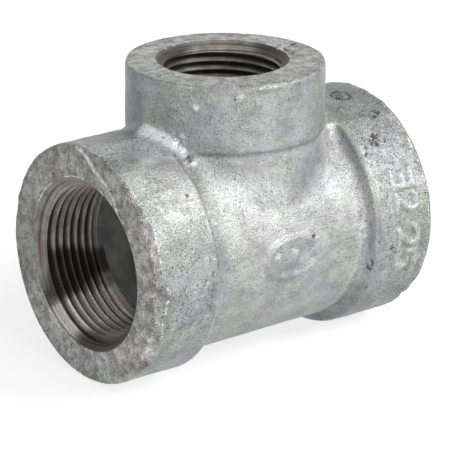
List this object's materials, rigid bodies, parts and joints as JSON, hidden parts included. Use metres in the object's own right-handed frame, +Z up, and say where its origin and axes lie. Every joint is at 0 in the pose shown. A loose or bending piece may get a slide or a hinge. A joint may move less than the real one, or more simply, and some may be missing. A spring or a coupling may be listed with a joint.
{
  "type": "reducing tee",
  "caption": "Galvanised malleable-iron reducing tee with heavy banded ends, tapped for taper pipe thread along the run and, in a smaller size, on the branch.",
  "frame": {"origin": "under the crossing of the run and branch axes, on the lowest line of the run bands; the axes cross 30.5 mm above it", "axes": "+X along the run, +Z up along the branch, +Y to the back"},
  "size_m": [0.0882, 0.061, 0.0755],
  "materials": {
    "galvanised_iron": "hot-dip galvanised over a sand-cast skin, satin; the threads are cut after galvanising and are bare"
  },
  "bodies": {
    "root": {"tee_body": "galvanised_iron"}
  },
  "joints": []
}
